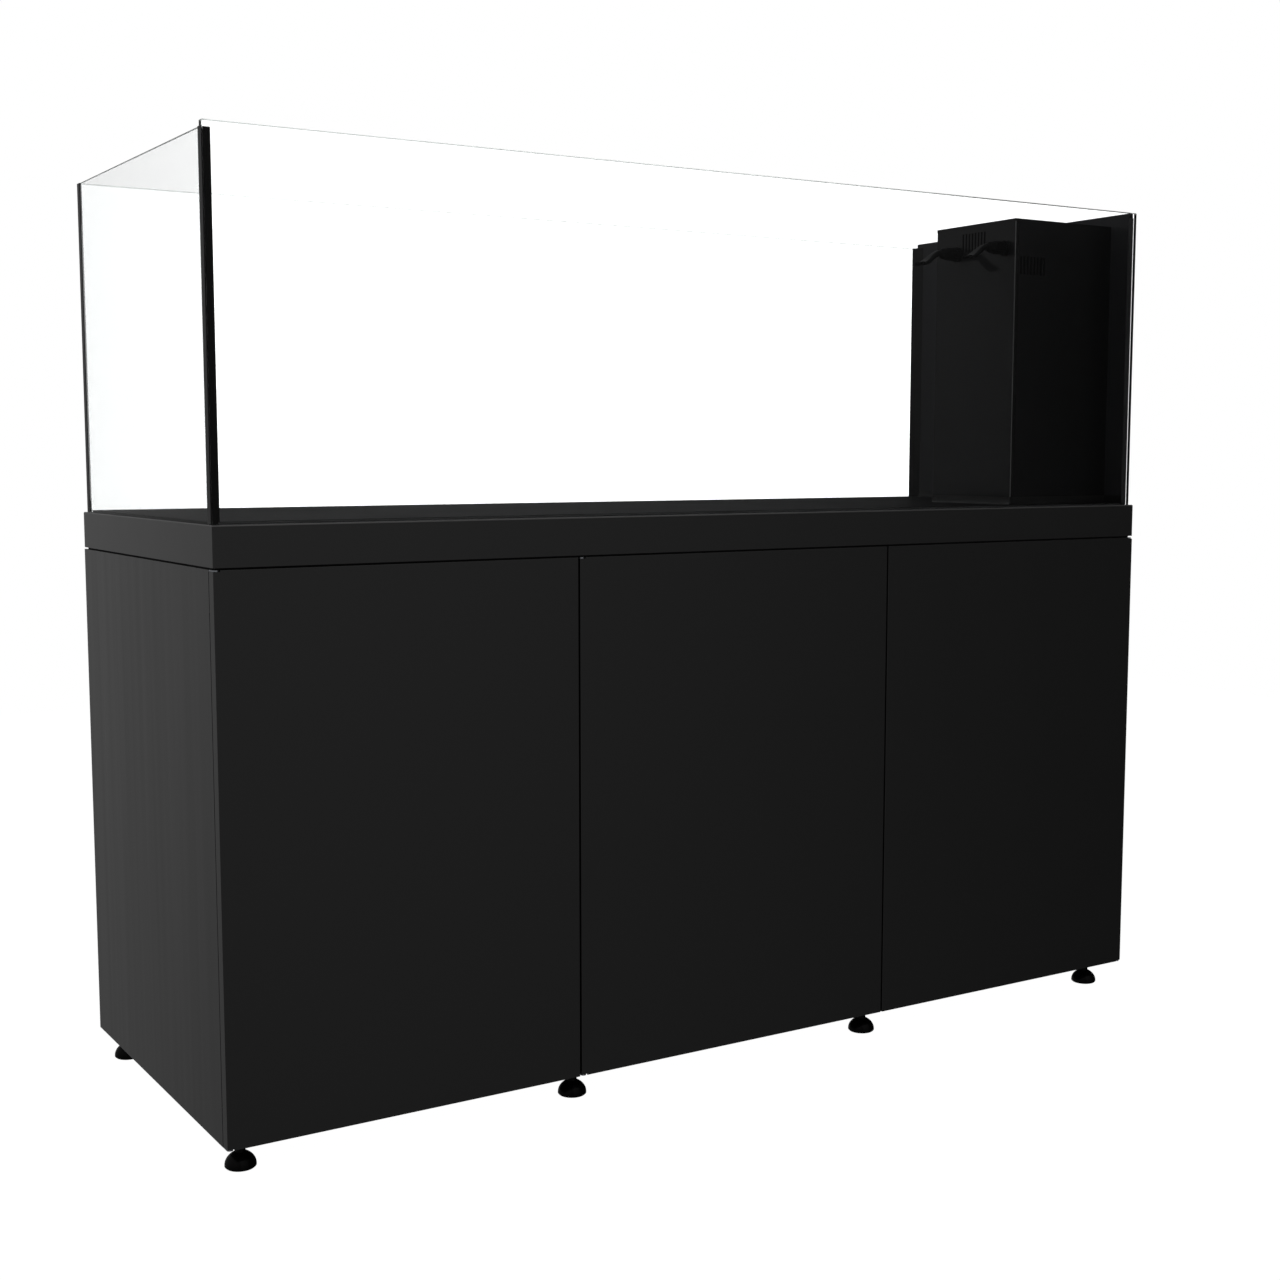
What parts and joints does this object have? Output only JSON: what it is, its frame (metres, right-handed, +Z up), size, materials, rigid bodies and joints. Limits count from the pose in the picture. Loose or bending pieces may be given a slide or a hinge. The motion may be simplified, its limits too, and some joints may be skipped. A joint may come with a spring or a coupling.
{
  "type": "aquarium on cabinet",
  "caption": "Rimless glass aquarium with a black overflow box and return nozzles, on a black cabinet with handle-less doors, levelling feet and a sump inside.",
  "frame": {"origin": "centre of the footprint on the floor", "axes": "+X along the tank towards the overflow box, the doors face -Y, +Z up"},
  "size_m": [1.8, 0.655, 1.4745],
  "materials": {
    "lacquered_board": "satin black lacquer on MDF",
    "body_board": "black melamine-faced board",
    "side_board": "satin charcoal lacquer on MDF",
    "birch_ply": "birch plywood",
    "rim_sheet": "satin black powder coat",
    "mat_foam": "closed-cell foam",
    "clear_glass": "clear low-iron glass",
    "sump_glass": "clear float glass",
    "black_glass": "gloss black back-painted glass",
    "black_silicone": "cured black silicone",
    "black_acrylic": "gloss black cast acrylic",
    "black_pvc": "moulded black PVC",
    "grey_pvc": "extruded grey PVC",
    "black_abs": "moulded black ABS",
    "white_acetal": "moulded white acetal",
    "foot_nylon": "glossy black glass-filled nylon",
    "zinc_steel": "zinc-plated steel",
    "red_vinyl": "red dipped vinyl",
    "white_polypropylene": "moulded white polypropylene"
  },
  "bodies": {
    "cabinet": {"side_panel_left": "side_board", "side_panel_right": "side_board", "bottom_panel": "body_board", "top_panel": "body_board", "partition": "body_board", "centre_posts": "body_board", "back_panel": "body_board", "rim_front": "rim_sheet", "rim_back": "rim_sheet", "rim_left": "rim_sheet", "rim_right": "rim_sheet", "rim_core": "birch_ply", "deck": "birch_ply", "levelling_mat": "mat_foam", "front_glass": "clear_glass", "back_glass": "clear_glass", "left_glass": "clear_glass", "end_panel": "black_glass", "floor_pane": "black_glass", "corner_silicone": "black_silicone", "floor_silicone": "black_silicone", "weir_face": "black_acrylic", "weir_front": "black_acrylic", "weir_back": "black_acrylic", "nozzle_bases": "black_pvc", "drain_pipes": "grey_pvc", "return_pipe": "grey_pvc", "bulkheads": "black_pvc", "valve_body": "grey_pvc", "sump_tank": "sump_glass", "filter_tray": "black_acrylic", "return_pump": "black_abs", "hinge_leaves": "zinc_steel", "hinge_screws": "zinc_steel", "latch_housings": "black_abs", "foot_sockets": "zinc_steel"},
    "door_left": {"door_left": "lacquered_board", "door_left_fittings": "zinc_steel"},
    "door_middle": {"door_middle": "lacquered_board", "door_middle_fittings": "zinc_steel"},
    "door_right": {"door_right": "lacquered_board", "door_right_fittings": "zinc_steel"},
    "plunger_left": {"plunger_left": "white_acetal"},
    "plunger_middle": {"plunger_middle": "white_acetal"},
    "plunger_right": {"plunger_right": "white_acetal"},
    "foot_front_1": {"foot_front_1": "foot_nylon"},
    "foot_front_2": {"foot_front_2": "foot_nylon"},
    "foot_front_3": {"foot_front_3": "foot_nylon"},
    "foot_front_4": {"foot_front_4": "foot_nylon"},
    "foot_back_1": {"foot_back_1": "foot_nylon"},
    "foot_back_2": {"foot_back_2": "foot_nylon"},
    "foot_back_3": {"foot_back_3": "foot_nylon"},
    "foot_back_4": {"foot_back_4": "foot_nylon"},
    "nozzle_collar_front": {"nozzle_collar_front": "black_pvc"},
    "nozzle_spout_front": {"nozzle_spout_front": "black_pvc"},
    "nozzle_collar_back": {"nozzle_collar_back": "black_pvc"},
    "nozzle_spout_back": {"nozzle_spout_back": "black_pvc"},
    "weir_cover": {"weir_cover": "black_acrylic"},
    "filter_basket": {"filter_basket": "white_polypropylene"},
    "valve_lever": {"valve_lever": "red_vinyl"}
  },
  "joints": [
    {"name": "door_left_hinge", "type": "hinge", "parent": "cabinet", "child": "door_left", "pos_m": [-0.895, -0.3225, 0.45375], "axis": [0, 0, -1], "range_deg": [0, 95]},
    {"name": "door_middle_hinge", "type": "hinge", "parent": "cabinet", "child": "door_middle", "pos_m": [-0.3125, -0.3225, 0.45375], "axis": [0, 0, -1], "range_deg": [0, 95]},
    {"name": "door_right_hinge", "type": "hinge", "parent": "cabinet", "child": "door_right", "pos_m": [0.895, -0.3225, 0.45375], "axis": [0, 0, 1], "range_deg": [0, 95]},
    {"name": "plunger_left_press", "type": "slide", "parent": "cabinet", "child": "plunger_left", "axis": [0, 1, 0], "range_m": [0, 0.003], "stiffness_N_per_m": 300, "springref_m": -0.005},
    {"name": "plunger_middle_press", "type": "slide", "parent": "cabinet", "child": "plunger_middle", "axis": [0, 1, 0], "range_m": [0, 0.003], "stiffness_N_per_m": 300, "springref_m": -0.005},
    {"name": "plunger_right_press", "type": "slide", "parent": "cabinet", "child": "plunger_right", "axis": [0, 1, 0], "range_m": [0, 0.003], "stiffness_N_per_m": 300, "springref_m": -0.005},
    {"name": "foot_front_1_height", "type": "slide", "parent": "cabinet", "child": "foot_front_1", "axis": [0, 0, 1], "range_m": [-0.01, 0]},
    {"name": "foot_front_2_height", "type": "slide", "parent": "cabinet", "child": "foot_front_2", "axis": [0, 0, 1], "range_m": [-0.01, 0]},
    {"name": "foot_front_3_height", "type": "slide", "parent": "cabinet", "child": "foot_front_3", "axis": [0, 0, 1], "range_m": [-0.01, 0]},
    {"name": "foot_front_4_height", "type": "slide", "parent": "cabinet", "child": "foot_front_4", "axis": [0, 0, 1], "range_m": [-0.01, 0]},
    {"name": "foot_back_1_height", "type": "slide", "parent": "cabinet", "child": "foot_back_1", "axis": [0, 0, 1], "range_m": [-0.01, 0]},
    {"name": "foot_back_2_height", "type": "slide", "parent": "cabinet", "child": "foot_back_2", "axis": [0, 0, 1], "range_m": [-0.01, 0]},
    {"name": "foot_back_3_height", "type": "slide", "parent": "cabinet", "child": "foot_back_3", "axis": [0, 0, 1], "range_m": [-0.01, 0]},
    {"name": "foot_back_4_height", "type": "slide", "parent": "cabinet", "child": "foot_back_4", "axis": [0, 0, 1], "range_m": [-0.01, 0]},
    {"name": "nozzle_front_swivel", "type": "hinge", "parent": "cabinet", "child": "nozzle_collar_front", "pos_m": [0.6005, -0.235, 1.402], "axis": [1, 0, 0], "range_deg": [-180, 180]},
    {"name": "nozzle_front_tilt", "type": "hinge", "parent": "nozzle_collar_front", "child": "nozzle_spout_front", "pos_m": [0.6005, -0.235, 1.402], "axis": [0, 1, 0], "range_deg": [-20, 20]},
    {"name": "nozzle_back_swivel", "type": "hinge", "parent": "cabinet", "child": "nozzle_collar_back", "pos_m": [0.6005, -0.107, 1.402], "axis": [1, 0, 0], "range_deg": [-180, 180]},
    {"name": "nozzle_back_tilt", "type": "hinge", "parent": "nozzle_collar_back", "child": "nozzle_spout_back", "pos_m": [0.6005, -0.107, 1.402], "axis": [0, 1, 0], "range_deg": [-20, 20]},
    {"name": "weir_cover_lift", "type": "slide", "parent": "cabinet", "child": "weir_cover", "axis": [0, 0, 1], "range_m": [0, 0.12]},
    {"name": "filter_basket_lift", "type": "slide", "parent": "cabinet", "child": "filter_basket", "axis": [0, 0, 1], "range_m": [0, 0.15]},
    {"name": "valve_lever_turn", "type": "hinge", "parent": "cabinet", "child": "valve_lever", "pos_m": [0.7705, -0.10425, 0.648], "axis": [0, -1, 0], "range_deg": [0, 90]}
  ]
}
